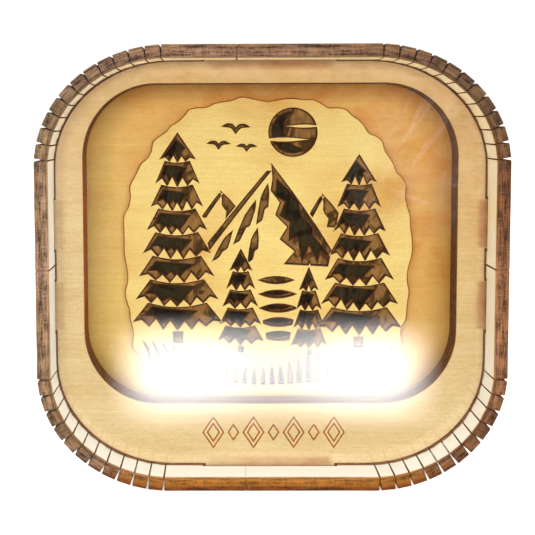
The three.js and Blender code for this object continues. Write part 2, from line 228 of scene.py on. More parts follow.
def finished(name, shell, node, materials):
    """A shell as a piece of the box that stands for a node."""
    mesh = bpy.data.meshes.new(name)
    shell.to_mesh(mesh)
    shell.free()
    for material in materials:
        mesh.materials.append(material)
    mesh.shade_smooth()
    mesh.set_sharp_from_angle(angle=SMOOTH_ANGLE)
    piece = bpy.data.objects.new(name, mesh)
    bpy.context.scene.collection.objects.link(piece)
    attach(piece, "root")
    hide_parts(node)
    return piece


def cut_sheet(node, rim, score_lines=(), outer_finish=CUT, snug=0.0):
    """A flat sheet cut from its node's outlines, with a chamfer round every cut and scored lines."""
    low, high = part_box(node)
    front, back = low.y, high.y
    shell = bmesh.new()

    def ring(outline, depth):
        return [shell.verts.new((x, depth, z)) for x, z in outline]

    def strip(outer, inner, finish):
        for k in range(len(outer)):
            n = (k + 1) % len(outer)
            shell.faces.new((outer[k], inner[k], inner[n], outer[n])).material_index = finish

    def fill(outlines, depth, turned):
        corners, faces = flat_fill(outlines)
        places = [shell.verts.new((x, depth, z)) for x, z in corners]
        for a, b, c in faces:
            ab, ac = corners[b] - corners[a], corners[c] - corners[a]
            counterclockwise = ab[0] * ac[1] > ab[1] * ac[0]
            order = (a, b, c) if counterclockwise != turned else (a, c, b)
            shell.faces.new([places[k] for k in order]).material_index = FACE

    outlines = [rounded(outline) for outline in cut_outlines(node)]
    outlines[0] = inset(outlines[0], -snug)
    faces_edge = [inset(outline, rim) for outline in outlines]
    for k, (outline, edge) in enumerate(zip(outlines, faces_edge)):
        finish = outer_finish if k == 0 else CUT
        rings = [
            ring(edge, front),
            ring(outline, front + RIM_DEPTH),
            ring(outline, back - RIM_DEPTH),
            ring(edge, back),
        ]
        for outer, inner in zip(rings, rings[1:]):
            strip(outer, inner, finish)
    scored = []
    for line in score_lines:
        outer, inner = inset(line, -SCORE_WIDTH / 2), inset(line, SCORE_WIDTH / 2)
        bottom = ring(line, front + SCORE_DEPTH)
        strip(bottom, ring(outer, front), LINE)
        strip(ring(inner, front), bottom, LINE)
        scored += [outer, inner]
    fill(faces_edge + scored, front, turned=False)
    fill(faces_edge, back, turned=True)
    bmesh.ops.remove_doubles(shell, verts=shell.verts, dist=WELD)
    return shell


def lozenge(x, z, half_width, half_height):
    """The four corners of a lozenge, counterclockwise from its left."""
    return np.array([
        (x - half_width, z),
        (x, z - half_height),
        (x + half_width, z),
        (x, z + half_height),
    ])


def lozenge_row():
    """A scored row of double lozenges, large and small in turn, under the window."""
    middle_x, middle_z = 1.1 * MM, 13.85 * MM
    pitch, count = 6.1 * MM, 7
    large_width, large_height = 3.1 * MM, 4.7 * MM
    small_share, inner_share = 0.5, 0.58
    lines = []
    for k in range(count):
        x = middle_x + (k - (count - 1) / 2) * pitch
        size = 1 if k % 2 == 0 else small_share
        half_width, half_height = large_width * size, large_height * size
        lines.append(lozenge(x, middle_z, half_width, half_height))
        if size == 1:
            lines.append(lozenge(x, middle_z, half_width * inner_share, half_height * inner_share))
    return lines


# The bent walls

CORNER_START = Vector((31.64 * MM, 31.92 * MM))  # where the bends begin, from the middle of the box
CORNER_RUN = 49 * MM  # along the wall round one corner


def wall_way(x, z):
    """How far a place lies along its wall strip from the middle of the top or bottom."""
    across, up = abs(x - BOX_MIDDLE.x), abs(z - BOX_MIDDLE.z)
    if across <= CORNER_START.x:
        return across
    if up <= CORNER_START.y:
        return CORNER_START.x + CORNER_RUN + CORNER_START.y - up
    turn = math.atan2(across - CORNER_START.x, up - CORNER_START.y)
    return CORNER_START.x + CORNER_RUN * turn / (math.pi / 2)


def wall_outward(x, z):
    """The direction that the wall's outer face looks in at a place."""
    across, up = x - BOX_MIDDLE.x, z - BOX_MIDDLE.z
    beside = max(0.0, abs(across) - CORNER_START.x)
    above = max(0.0, abs(up) - CORNER_START.y)
    return Vector((math.copysign(beside, across), 0, math.copysign(above, up))).normalized()


def draw_slits_shut(shell):
    """Brings the two sides of every slit together on the inner face, where the bend squeezes them."""
    near_slit = SLIT_WIDTH * 1.1
    inner = []
    for vert in shell.verts:
        outward = wall_outward(vert.co.x, vert.co.z)
        if any(face.normal.dot(outward) < -LOOKS_INWARD for face in vert.link_faces):
            inner.append(vert)
    places = [vert.co.copy() for vert in inner]
    tree = KDTree(len(places))
    for k, place in enumerate(places):
        tree.insert(place, k)
    tree.balance()
    for vert, place in zip(inner, places):
        for other, _, distance in tree.find_range(place, near_slit):
            if distance > SLIT_WIDTH / 2 and abs(other.y - place.y) < WELD:
                vert.co = place.lerp(other, SLIT_SHUT)


def bring_ends_together(shell, node):
    """Moves the two ends of a wall strip closer to its neighbours."""
    at_end = WELD * 10
    low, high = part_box(node)
    end_x, to_x = (high.x, 1) if low.x + high.x < 2 * BOX_MIDDLE.x else (low.x, -1)
    end_z, to_z = (low.z, -1) if low.z + high.z > 2 * BOX_MIDDLE.z else (high.z, 1)
    for vert in shell.verts:
        if abs(vert.co.x - end_x) < at_end:
            vert.co.x += to_x * SEAM_SHUT
        if abs(vert.co.z - end_z) < at_end:
            vert.co.z += to_z * SEAM_SHUT


def face_indices(faces):
    """Numbers for the corners of faces whose corners are listed one after the other."""
    indices, start = [], 0
    for face in faces:
        indices.append(tuple(range(start, start + len(face))))
        start += len(face)
    return indices


def bent_wall(node):
    """A wall strip with eased edges. Its veneer and its burnt cuts take different finishes."""
    shell = bmesh.new()
    shell.from_mesh(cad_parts[node].data)
    bmesh.ops.remove_doubles(shell, verts=shell.verts, dist=WELD)
    bmesh.ops.dissolve_limit(shell, angle_limit=FLAT_ANGLE, verts=shell.verts, edges=shell.edges)
    shell.normal_update()
    draw_slits_shut(shell)
    bring_ends_together(shell, node)
    shell.normal_update()
    sharp = [edge for edge in shell.edges if edge.calc_face_angle(0) > EASED_ANGLE]
    bmesh.ops.bevel(
        shell,
        geom=sharp,
        offset=BLOCK_ROUNDING,
        segments=2,
        profile=0.5,
        affect="EDGES",
        clamp_overlap=False,
    )
    shell.normal_update()
    outer_faces = []
    for face in shell.faces:
        middle = face.calc_center_median()
        facing = face.normal.dot(wall_outward(middle.x, middle.z))
        face.material_index = FACE if abs(facing) > ON_VENEER else CUT
        if -ON_VENEER <= facing < -ASIDE and abs(face.normal.y) < ASIDE:
            at_low_seam = middle.z < LOW_SEAM_TOP and abs(middle.x - LOW_SEAM_X) < LOW_SEAM_REACH
            face.material_index = FACE if at_low_seam else LINE
        if facing > ON_VENEER:
            outer_faces.append([vert.co.copy() for vert in face.verts])
    outer = BVHTree.FromPolygons(
        [place for face in outer_faces for place in face],
        face_indices(outer_faces),
    )
    unrolled = shell.verts.layers.float_vector.new("unrolled")
    for vert in shell.verts:
        depth = outer.find_nearest(vert.co)[3]
        vert[unrolled] = Vector((wall_way(vert.co.x, vert.co.z), vert.co.y, min(depth, SHEET))) / MM
    return shell


# Shader nodes

def colour(red, green, blue):
    """A colour given in the 0 to 255 of a picture, as a shader takes it."""
    def linear(value):
        share = value / 255
        return share / 12.92 if share <= 0.04045 else ((share + 0.055) / 1.055) ** 2.4
    return (linear(red), linear(green), linear(blue), 1.0)


def add(tree, kind, inputs=None, **settings):
    """A node with its settings, and with values or links for its inputs."""
    node = tree.nodes.new(kind)
    for name, value in settings.items():
        setattr(node, name, value)
    for name, value in (inputs or {}).items():
        if isinstance(value, bpy.types.NodeSocket):
            tree.links.new(value, node.inputs[name])
        else:
            node.inputs[name].default_value = value
    return node


def calc(tree, operation, *values, clamp=False):
    """The result of an operation on one, two or three values."""
    inputs = dict(enumerate(values))
    return add(tree, "ShaderNodeMath", inputs, operation=operation, use_clamp=clamp).outputs[0]


def times(tree, first, second):
    return calc(tree, "MULTIPLY", first, second)


def vector_calc(tree, operation, *values):
    inputs = dict(enumerate(values))
    node = add(tree, "ShaderNodeVectorMath", inputs, operation=operation)
    return node.outputs["Value" if operation == "DISTANCE" else "Vector"]


def axes(tree, place):
    """The X, Y and Z of a place."""
    return add(tree, "ShaderNodeSeparateXYZ", {0: place}).outputs


def stretch(tree, place, scale):
    """A place with each axis at its own scale."""
    return vector_calc(tree, "MULTIPLY", place, scale)


def mottle(tree, place, scale, detail=3.0, roughness=0.55, distortion=0.0):
    """Noise from 0 to 1 on a place in millimetres, with its own scale along each axis."""
    inputs = {
        "Vector": stretch(tree, place, scale),
        "Scale": 1.0,
        "Detail": detail,
        "Roughness": roughness,
        "Distortion": distortion,
    }
    return add(tree, "ShaderNodeTexNoise", inputs).outputs["Fac"]


def spread(tree, value, low, high, to_low=0.0, to_high=1.0):
    """A smooth step from one value to another while the input goes from low to high."""
    inputs = {"Value": value, "From Min": low, "From Max": high, "To Min": to_low, "To Max": to_high}
    return add(tree, "ShaderNodeMapRange", inputs, interpolation_type="SMOOTHSTEP").outputs[0]


def blend(tree, share, first, second, how="MIX"):
    """The first colour with a share of the second."""
    inputs = {0: share, 6: first, 7: second}
    node = add(tree, "ShaderNodeMix", inputs, data_type="RGBA", blend_type=how)
    return node.outputs[2]


def tinted(tree, first, tint):
    """A colour as it shows through a tint."""
    return blend(tree, 1.0, first, tint, "MULTIPLY")


def weighted(tree, *pairs):
    """The sum of values, each times its weight."""
    total = times(tree, *pairs[0])
    for value, weight in pairs[1:]:
        total = calc(tree, "MULTIPLY_ADD", value, weight, total)
    return total


def new_group(name, inputs, outputs):
    """An empty group with its named sockets."""
    kinds = {"value": "NodeSocketFloat", "colour": "NodeSocketColor", "place": "NodeSocketVector"}
    group = bpy.data.node_groups.new(name, "ShaderNodeTree")
    for socket, kind in inputs.items():
        group.interface.new_socket(socket, in_out="INPUT", socket_type=kinds[kind])
    for socket, kind in outputs.items():
        group.interface.new_socket(socket, in_out="OUTPUT", socket_type=kinds[kind])
    return group, group.nodes.new("NodeGroupInput").outputs, group.nodes.new("NodeGroupOutput").inputs


def use(tree, group, **inputs):
    """A group placed in a material. Its inputs are given by name, with _ for a space."""
    node = tree.nodes.new("ShaderNodeGroup")
    node.node_tree = group
    for name, value in inputs.items():
        socket = node.inputs[name.replace("_", " ")]
        if isinstance(value, bpy.types.NodeSocket):
            tree.links.new(value, socket)
        else:
            socket.default_value = value
    return node.outputs


def birch_grain_group():
    """Fine straight birch grain. Place is in millimetres, with X along the grain."""
    tree, given, out = new_group(
        "birch grain",
        {"Place": "place", "Pale": "colour", "Deep": "colour", "Figure": "value", "Flecks": "value"},
        {"Color": "colour", "Roughness": "value", "Height": "value"},
    )
    place = given["Place"]
    fibres = mottle(tree, place, (0.035, 1.5, 1.5), detail=5, roughness=0.62, distortion=0.2)
    fine = mottle(tree, place, (0.3, 4.0, 4.0), detail=2)
    broad = mottle(tree, place, (0.012, 0.07, 0.07), detail=3, distortion=1.1)
    fleck = spread(tree, mottle(tree, place, (0.4, 2.6, 2.6), detail=2), 0.66, 0.76)
    speckle = mottle(tree, place, (1.1, 1.5, 1.5), detail=3, roughness=0.6)
    tone = weighted(tree, (fibres, 0.7), (fine, 0.6), (speckle, 0.8),
                    (calc(tree, "SUBTRACT", broad, 0.5), given["Figure"]))
    tone = calc(tree, "SUBTRACT", tone, 0.55, clamp=True)
    grain = blend(tree, tone, given["Pale"], given["Deep"])
    dark_fleck = tinted(tree, given["Deep"], (0.62, 0.55, 0.5, 1))
    shown = times(tree, fleck, given["Flecks"])
    tree.links.new(blend(tree, shown, grain, dark_fleck), out["Color"])
    tree.links.new(weighted(tree, (fine, 0.18), (fibres, 0.14), (fleck, 0.1)), out["Roughness"])
    tree.links.new(weighted(tree, (fibres, 0.6), (fine, 0.4), (fleck, -0.4)), out["Height"])
    return tree


def laser_scorch_group():
    """The surface that a laser leaves: char with streaks and paler patches. X runs along the cut."""
    tree, given, out = new_group(
        "laser scorch",
        {"Place": "place", "Char": "colour", "Ember": "colour", "Pale patches": "value"},
        {"Color": "colour", "Roughness": "value", "Height": "value"},
    )
    place = given["Place"]
    streaks = mottle(tree, place, (0.16, 1.1, 2.4), detail=5, roughness=0.66)
    patches = mottle(tree, place, (0.22, 0.3, 0.4), detail=4, roughness=0.6)
    specks = mottle(tree, place, (2.2, 2.6, 3.0), detail=2)
    cut_marks = mottle(tree, place, (1.9, 1.4, 0.28), detail=4, roughness=0.7)
    tone = weighted(tree, (streaks, 0.75), (patches, 0.45), (specks, 0.25), (cut_marks, 0.3))
    tone = spread(tree, calc(tree, "ADD", tone, given["Pale patches"]), 0.68, 1.07)
    tree.links.new(blend(tree, tone, given["Char"], given["Ember"]), out["Color"])
    tree.links.new(weighted(tree, (specks, 0.25), (streaks, 0.2)), out["Roughness"])
    tree.links.new(weighted(tree, (specks, 0.4), (streaks, 0.4), (cut_marks, 0.4)), out["Height"])
    return tree


def smoke_and_shade_group():
    """Darkens and tints a colour where the mask says, in soft blotches: brown smoke on some surfaces, painted
    shade on others.
    """
    tree, given, out = new_group(
        "smoke",
        {"Place": "place", "Color": "colour", "Tint": "colour", "Mask": "value"},
        {"Color": "colour"},
    )
    blotches = mottle(tree, given["Place"], (0.07, 0.07, 0.1), detail=4, roughness=0.6, distortion=0.8)
    uneven = spread(tree, blotches, 0.25, 0.75, 0.45, 1.0)
    share = calc(tree, "MULTIPLY", given["Mask"], uneven, clamp=True)
    smoke_and_shade_colour = tinted(tree, given["Color"], given["Tint"])
    tree.links.new(blend(tree, share, given["Color"], smoke_and_shade_colour), out["Color"])
    return tree


def rounded_distance_group():
    """How far a place lies outside a rounded rectangle seen from the front, in millimetres."""
    tree, given, out = new_group(
        "rounded distance",
        {"Place": "place", "Middle": "place", "Half": "place", "Corner": "value"},
        {"Distance": "value"},
    )
    offset = vector_calc(tree, "SUBTRACT", given["Place"], given["Middle"])
    size = vector_calc(tree, "ABSOLUTE", offset)
    past = axes(tree, vector_calc(tree, "SUBTRACT", size, given["Half"]))
    x = calc(tree, "ADD", past["X"], given["Corner"])
    z = calc(tree, "ADD", past["Z"], given["Corner"])
    outside_x, outside_z = calc(tree, "MAXIMUM", x, 0.0), calc(tree, "MAXIMUM", z, 0.0)
    squares = calc(tree, "MULTIPLY_ADD", outside_x, outside_x, times(tree, outside_z, outside_z))
    inner = calc(tree, "MINIMUM", calc(tree, "MAXIMUM", x, z), 0.0)
    reach = calc(tree, "ADD", calc(tree, "SQRT", squares), inner)
    tree.links.new(calc(tree, "SUBTRACT", reach, given["Corner"]), out["Distance"])
    return tree


def stain_wash_group():
    """Wood stain brushed on by hand: pools, thin places and drying edges over the grain."""
    tree, given, out = new_group(
        "stain wash",
        {"Place": "place", "Color": "colour", "Thin": "colour", "Thick": "colour", "Cover": "value"},
        {"Color": "colour", "Roughness": "value"},
    )
    place = given["Place"]
    pools = mottle(tree, place, (0.11, 0.11, 0.09), detail=3, distortion=1.8)
    strokes = mottle(tree, place, (0.5, 0.5, 0.16), detail=4, roughness=0.6, distortion=0.9)
    tide = calc(tree, "PINGPONG", times(tree, pools, 4.0), 0.5)
    amount = weighted(tree, (pools, 1.1), (strokes, 0.5), (tide, 0.3))
    coat = blend(tree, spread(tree, amount, 0.66, 1.06), given["Thin"], given["Thick"])
    tree.links.new(blend(tree, given["Cover"], given["Color"], coat), out["Color"])
    tree.links.new(times(tree, strokes, 0.25), out["Roughness"])
    return tree


BIRCH_GRAIN = birch_grain_group()
LASER_SCORCH = laser_scorch_group()
SMOKE_AND_SHADE = smoke_and_shade_group()
ROUNDED_DISTANCE = rounded_distance_group()
STAIN_WASH = stain_wash_group()


# Finishes

def new_material(name):
    """A material with its nodes and the inputs of its shader."""
    material = bpy.data.materials.new(name)
    material.use_nodes = True
    tree = material.node_tree
    return material, tree, tree.nodes["Principled BSDF"].inputs


def place_in_mm(tree):
    """Where a point lies on the box, in millimetres."""
    inside = add(tree, "ShaderNodeTexCoord").outputs["Object"]
    return stretch(tree, inside, (1000, 1000, 1000))


def place_on_wall(tree):
    """Where a point lies on the wall laid flat: along it, from front to back, and into the sheet."""
    return add(tree, "ShaderNodeAttribute", attribute_name="unrolled").outputs["Vector"]


def finish_surface(tree, shader, tint, roughness, height, depth, least_rough, shine=0.3):
    """Colour, roughness above a least value, and relief of a depth in millimetres."""
    shader["Specular IOR Level"].default_value = shine
    tree.links.new(tint, shader["Base Color"])
    tree.links.new(calc(tree, "ADD", roughness, least_rough), shader["Roughness"])
    relief = add(tree, "ShaderNodeBump", {"Height": height, "Distance": depth * MM, "Strength": 0.8})
    tree.links.new(relief.outputs[0], shader["Normal"])


def wall_veneer():
    """Pale birch on the wall's faces, toasted close to the burnt front and back edges. Painted warm light
    tints it towards the upper right, and painted shade darkens it in the gap behind the pane.
    """
    material, tree, shader = new_material("wall veneer")
    place = place_on_wall(tree)
    grain = use(tree, BIRCH_GRAIN, Place=place, Pale=colour(255, 254, 245), Deep=colour(253, 241, 214),
                Figure=0.5, Flecks=0.2)
    pane_front, inner_side = (-12.7, -12.4), (3.4, 3.9)
    depth = axes(tree, place)["Y"]
    from_edge = calc(tree, "SUBTRACT", BOX_HALF.y / MM, calc(tree, "ABSOLUTE", depth))
    ragged = mottle(tree, place, (0.5, 0.5, 0.5), detail=3)
    near = spread(tree, calc(tree, "MULTIPLY_ADD", ragged, -0.7, from_edge), 0.9, -0.3)
    where = axes(tree, place_in_mm(tree))
    # Painted warm light: the veneer is tinted warmer towards the upper right, as if lit by light bounced
    # inside the box.
    upper_right = weighted(tree, (where["X"], 0.5), (where["Z"], 1.0))
    painted_warm_shading = use(tree, SMOKE_AND_SHADE, Place=place, Color=grain["Color"], Tint=colour(252, 230, 180),
               Mask=spread(tree, upper_right, 30, 120))
    # Painted shade: the veneer is darkened brown where it shows in the gap round the pane and the panel.
    inner_face = spread(tree, axes(tree, place)["Z"], *inner_side)
    gap_shade_mask = times(tree, spread(tree, depth, *pane_front), inner_face)
    gap_painted_shade = use(tree, SMOKE_AND_SHADE, Place=place, Color=painted_warm_shading["Color"], Tint=colour(214, 166, 104), Mask=gap_shade_mask)
    tint = use(tree, SMOKE_AND_SHADE, Place=place, Color=gap_painted_shade["Color"], Tint=colour(206, 150, 90), Mask=near)
    finish_surface(tree, shader, tint["Color"], grain["Roughness"], grain["Height"], 0.05, 0.42)
    return material


def wall_burnt_edge():
    """The charred edge of the plywood wall: plies, paler skins, drifting soot, and painted warm light from
    the floor along the bottom.
    """
    upper_bends, lower_bends, foot = (84, 106), (38, 22), (9.0, 2.0)  # heights on the box
    beside_straights = (30, 56)  # from the middle to either side
    material, tree, shader = new_material("wall burnt edge")
    place = place_on_wall(tree)
    burnt = use(tree, LASER_SCORCH, Place=place, Char=colour(40, 28, 22), Ember=colour(174, 140, 111),
                Pale_patches=0.0)
    plies = spread(tree, mottle(tree, place, (0.02, 0.02, 1.7), detail=4, roughness=0.7), 0.42, 0.62)
    streaked = blend(tree, times(tree, plies, 0.4), burnt["Color"], colour(76, 54, 42))
    through = axes(tree, place)["Z"]
    ragged = mottle(tree, place, (0.5, 1.0, 1.5), detail=3)
    from_middle = calc(tree, "ABSOLUTE", calc(tree, "SUBTRACT", through, SHEET / MM / 2))
    skin = spread(tree, calc(tree, "MULTIPLY_ADD", ragged, 0.8, from_middle), 1.9, 2.4)
    golden = blend(tree, ragged, colour(204, 172, 128), colour(126, 88, 52))
    edge = blend(tree, times(tree, skin, 0.75), streaked, golden)
    where = axes(tree, place_in_mm(tree))
    drift = mottle(tree, place, (0.06, 0.2, 0.35), detail=3, distortion=0.8)
    ashy = blend(tree, spread(tree, drift, 0.4, 0.6), colour(250, 242, 246), colour(240, 236, 218))
    ruddy = colour(238, 204, 178)
    right_side = times(tree, spread(tree, where["X"], 0, 64), spread(tree, where["Z"], 118, 84))
    drifted = tinted(tree, edge, blend(tree, right_side, ashy, ruddy))
    height = weighted(tree, (where["X"], 0.35), (where["Z"], 1.0))
    rightward = spread(tree, where["X"], -60, 66, 0.45, 1.0)
    upper = times(tree, spread(tree, height, 75, 110), rightward)
    aside = spread(tree, calc(tree, "ABSOLUTE", where["X"]), *beside_straights)
    lower = times(tree, spread(tree, where["Z"], 36, 20), aside)
    soot = calc(tree, "MAXIMUM", upper, times(tree, lower, 0.5))
    dulled = blend(tree, soot, drifted, tinted(tree, drifted, colour(204, 192, 178)))
    right_most = spread(tree, where["X"], -40, 40, 0.3, 0.9)
    low_bends = times(tree, spread(tree, where["Z"], *lower_bends), right_most)
    bends = calc(tree, "MAXIMUM", spread(tree, where["Z"], *upper_bends), low_bends)
    corner = times(tree, aside, bends)
    sooty = blend(tree, corner, dulled, tinted(tree, dulled, colour(220, 224, 224)))
    # Painted light: the bottom edges take a warm orange glow over their char, as if lit from the bright
    # floor, and are darker on the floor side.
    toasted = use(tree, LASER_SCORCH, Place=place, Char=colour(72, 36, 8), Ember=colour(164, 104, 26),
                  Pale_patches=0.05)
    lit_rim = spread(tree, calc(tree, "MULTIPLY_ADD", ragged, 1.2, through), 0.9, 3.6)
    warm_painted_light = blend(tree, lit_rim, tinted(tree, toasted["Color"], colour(176, 140, 126)),
                 toasted["Color"])
    floor_glow_mask = times(tree, spread(tree, where["Z"], *foot), 0.9)
    tint = blend(tree, floor_glow_mask, sooty, warm_painted_light)
    finish_surface(tree, shader, tint, burnt["Roughness"], burnt["Height"], 0.12, 0.55, shine=0.12)
    return material


def panel_face():
    """Birch of the window panel and its spacer, with painted shade towards the upper right, painted light
    near its upper border, and darker brown where the tabs go into the wall.
    """
    material, tree, shader = new_material("panel birch")
    place = place_in_mm(tree)
    grain = use(tree, BIRCH_GRAIN, Place=place, Pale=colour(236, 212, 160), Deep=colour(204, 166, 108),
                Figure=0.9, Flecks=0.35)
    middle = (PANEL_LOW + PANEL_HIGH) / 2 / MM
    half, corner = Vector((63.9, 50, 60.5)), 33.0  # the panel without its tabs
    side_tab_height = 12.3  # above and below the middle
    side_tab_end, long_tab_end = (7.8, 6.6), (20.0, 17.0)
    edge = use(tree, ROUNDED_DISTANCE, Place=place, Middle=middle, Half=half, Corner=0.0)["Distance"]
    where = axes(tree, place)
    # Painted shade: the panel is darkened and warmed towards the upper right.
    upper_right = weighted(tree, (where["X"], 0.5), (where["Z"], 1.0))
    painted_warm_shading = use(tree, SMOKE_AND_SHADE, Place=place, Color=grain["Color"], Tint=colour(234, 208, 162),
               Mask=spread(tree, upper_right, 50, 125))
    # Painted light: the upper border of the panel is lightened, in blotches, against the shade of the wall
    # round it.
    border = use(tree, ROUNDED_DISTANCE, Place=place, Middle=middle, Half=half, Corner=corner)["Distance"]
    cloudy = mottle(tree, place, (0.09, 0.09, 0.13), detail=4, distortion=1.0)
    smudges = spread(tree, cloudy, 0.38, 0.62, 0.25, 1.0)
    edge_light_mask = times(tree, spread(tree, border, -9.0, -0.5), spread(tree, where["Z"], 60, 116, 0.0, 0.45))
    painted_edge_light = blend(tree, times(tree, edge_light_mask, smudges), painted_warm_shading["Color"], colour(252, 204, 156))
    # Darker brown near the edge where the tabs go into the wall, more so towards the right.
    near = times(tree, spread(tree, edge, -2.8, -0.6), spread(tree, where["X"], -60, 60, 0.4, 1.0))
    up = calc(tree, "ABSOLUTE", calc(tree, "SUBTRACT", where["Z"], middle.z))
    off_side_tab = calc(tree, "ABSOLUTE", calc(tree, "SUBTRACT", up, side_tab_height))
    side_tab = spread(tree, off_side_tab, *side_tab_end)
    long_tab = spread(tree, calc(tree, "ABSOLUTE", where["X"]), *long_tab_end)
    near = times(tree, near, calc(tree, "MAXIMUM", side_tab, long_tab))
    tint = use(tree, SMOKE_AND_SHADE, Place=place, Color=painted_edge_light, Tint=colour(202, 138, 84), Mask=near)
    finish_surface(tree, shader, tint["Color"], grain["Roughness"], grain["Height"], 0.05, 0.4)
    return material


def burnt_cut(name, char, ember, pale):
    """The scorched wall and rim of a cut through a sheet."""
    material, tree, shader = new_material(name)
    place = place_in_mm(tree)
    burnt = use(tree, LASER_SCORCH, Place=place, Char=char, Ember=ember, Pale_patches=pale)
    finish_surface(tree, shader, burnt["Color"], burnt["Roughness"], burnt["Height"], 0.1, 0.5, shine=0.12)
    return material


def window_cut():
    """The scorched cut through the window panel, with painted warm light down the left of the window."""
    window_side, window_height = (-52, -55), 70.0
    panel_side = (-63, -60)
    material, tree, shader = new_material("panel burnt cut")
    place = place_in_mm(tree)
    burnt = use(tree, LASER_SCORCH, Place=place, Char=colour(72, 44, 26), Ember=colour(144, 92, 52),
                Pale_patches=0.0)
    where = axes(tree, place)
    from_middle = calc(tree, "ABSOLUTE", calc(tree, "SUBTRACT", where["Z"], window_height))
    beside_window = times(tree, spread(tree, where["X"], *window_side), spread(tree, where["X"], *panel_side))
    # Painted light: the cut down the left of the window, which faces right, is coloured a lighter warm brown.
    left_side = times(tree, beside_window, spread(tree, from_middle, 40, 16, 0.0, 0.75))
    warm_painted_light = blend(tree, left_side, burnt["Color"], colour(176, 92, 38))
    finish_surface(tree, shader, warm_painted_light, burnt["Roughness"], burnt["Height"], 0.1, 0.5, shine=0.12)
    return material


def picture_face():
    """Light golden birch of the picture's front layer."""
    material, tree, shader = new_material("picture birch")
    place = place_in_mm(tree)
    grain = use(tree, BIRCH_GRAIN, Place=place, Pale=colour(255, 229, 146), Deep=colour(232, 190, 98),
                Figure=0.7, Flecks=0.3)
    cloudy = mottle(tree, place, (0.03, 0.03, 0.03), detail=2)
    tint = use(tree, SMOKE_AND_SHADE, Place=place, Color=grain["Color"], Tint=colour(226, 186, 130),
               Mask=spread(tree, cloudy, 0.4, 0.75))
    finish_surface(tree, shader, tint["Color"], grain["Roughness"], grain["Height"], 0.05, 0.42)
    return material


def stained_face(name, thin, thick, cover):
    """Birch under a brushed stain."""
    material, tree, shader = new_material(name)
    place = place_in_mm(tree)
    grain = use(tree, BIRCH_GRAIN, Place=place, Pale=colour(214, 170, 104), Deep=colour(150, 104, 58),
                Figure=0.6, Flecks=0.5)
    stain = use(tree, STAIN_WASH, Place=place, Color=grain["Color"], Thin=thin, Thick=thick, Cover=cover)
    finish_surface(tree, shader, stain["Color"], stain["Roughness"], grain["Height"], 0.05, 0.5, shine=0.02)
    return material


def back_face():
    """The golden board behind the picture, with blotchy painted shade towards its upper right."""
    material, tree, shader = new_material("back birch")
    place = place_in_mm(tree)
    grain = use(tree, BIRCH_GRAIN, Place=place, Pale=colour(250, 220, 130), Deep=colour(228, 184, 94),
                Figure=0.9, Flecks=0.35)
    cloudy = mottle(tree, place, (0.018, 0.018, 0.03), detail=4, roughness=0.6, distortion=1.2)
    where = axes(tree, place)
    # Painted shade: the board darkens in blotches towards its upper right, where the window's edges shade it.
    upper_right = weighted(tree, (where["X"], 0.6), (where["Z"], 1.0), (cloudy, 90.0))
    tint = use(tree, SMOKE_AND_SHADE, Place=place, Color=grain["Color"], Tint=colour(242, 192, 140),
               Mask=spread(tree, upper_right, 60, 168))
    finish_surface(tree, shader, tint["Color"], grain["Roughness"], grain["Height"], 0.05, 0.42)
    return material


def wipe_marks(tree, place, turn, low, high):
    """Faint streaks on the pane that run in one direction."""
    inputs = {"Vector": place, "Angle": math.radians(turn)}
    turned = add(tree, "ShaderNodeVectorRotate", inputs, rotation_type="Y_AXIS").outputs[0]
    return spread(tree, mottle(tree, turned, (0.045, 0.3, 0.5), detail=3, distortion=0.5), low, high)


def near_spot(tree, place, spot, reach):
    """A mask that is full close to a spot and fades out at its reach."""
    away = vector_calc(tree, "DISTANCE", place, spot)
    return spread(tree, away, reach, reach * 0.3)


def clear_acrylic():
    """Clear sheet with wipe marks that catch the light. Lamps shine through it."""
    upper_right_spot, left_spot, spot_reach = (44, -12, 96), (-58, -12, 78), 30
    material, tree, shader = new_material("clear acrylic")
    place = place_in_mm(tree)
    steep_marks = wipe_marks(tree, place, 58, 0.5, 0.72)
    low_marks = wipe_marks(tree, place, -24, 0.52, 0.74)
    marks = calc(tree, "MAXIMUM", steep_marks, low_marks)
    cloudy = mottle(tree, place, (0.05, 0.05, 0.05), detail=3, distortion=1.0)
    film = spread(tree, cloudy, 0.35, 0.7, 0.05, 0.4)
    upper_right = near_spot(tree, place, upper_right_spot, spot_reach)
    left_side = near_spot(tree, place, left_spot, spot_reach)
    where = calc(tree, "MAXIMUM", upper_right, times(tree, left_side, 0.6))
    haze = times(tree, calc(tree, "MAXIMUM", marks, film), where)
    shader["Base Color"].default_value = (0.985, 0.99, 0.985, 1)
    shader["Transmission Weight"].default_value = 1.0
    shader["IOR"].default_value = 1.49
    shader["Coat Roughness"].default_value = 0.42
    tree.links.new(times(tree, haze, 0.05), shader["Roughness"])
    tree.links.new(times(tree, haze, 0.9), shader["Coat Weight"])
    lamp_ray = add(tree, "ShaderNodeLightPath").outputs["Is Shadow Ray"]
    open_air = add(tree, "ShaderNodeBsdfTransparent", {"Color": (0.96, 0.97, 0.96, 1)}).outputs[0]
    glass = tree.nodes["Principled BSDF"].outputs[0]
    mixed = add(tree, "ShaderNodeMixShader", {0: lamp_ray, 1: glass, 2: open_air}).outputs[0]
    tree.links.new(mixed, tree.nodes["Material Output"].inputs["Surface"])
    return material


def pale_floor():
    """A matt white floor that glows a little towards the camera."""
    material, tree, shader = new_material("pale floor")
    place = place_in_mm(tree)
    tone = mottle(tree, place, (0.02, 0.02, 0.02), detail=3)
    tree.links.new(blend(tree, tone, (0.93, 0.93, 0.925, 1), (0.95, 0.95, 0.95, 1)), shader["Base Color"])
    tree.links.new(spread(tree, tone, 0.0, 1.0, 0.75, 0.9), shader["Roughness"])
    shader["Emission Color"].default_value = (1, 1, 1, 1)
    camera_ray = add(tree, "ShaderNodeLightPath").outputs["Is Camera Ray"]
    tree.links.new(times(tree, camera_ray, FLOOR_GLOW), shader["Emission Strength"])
    return material


# The box

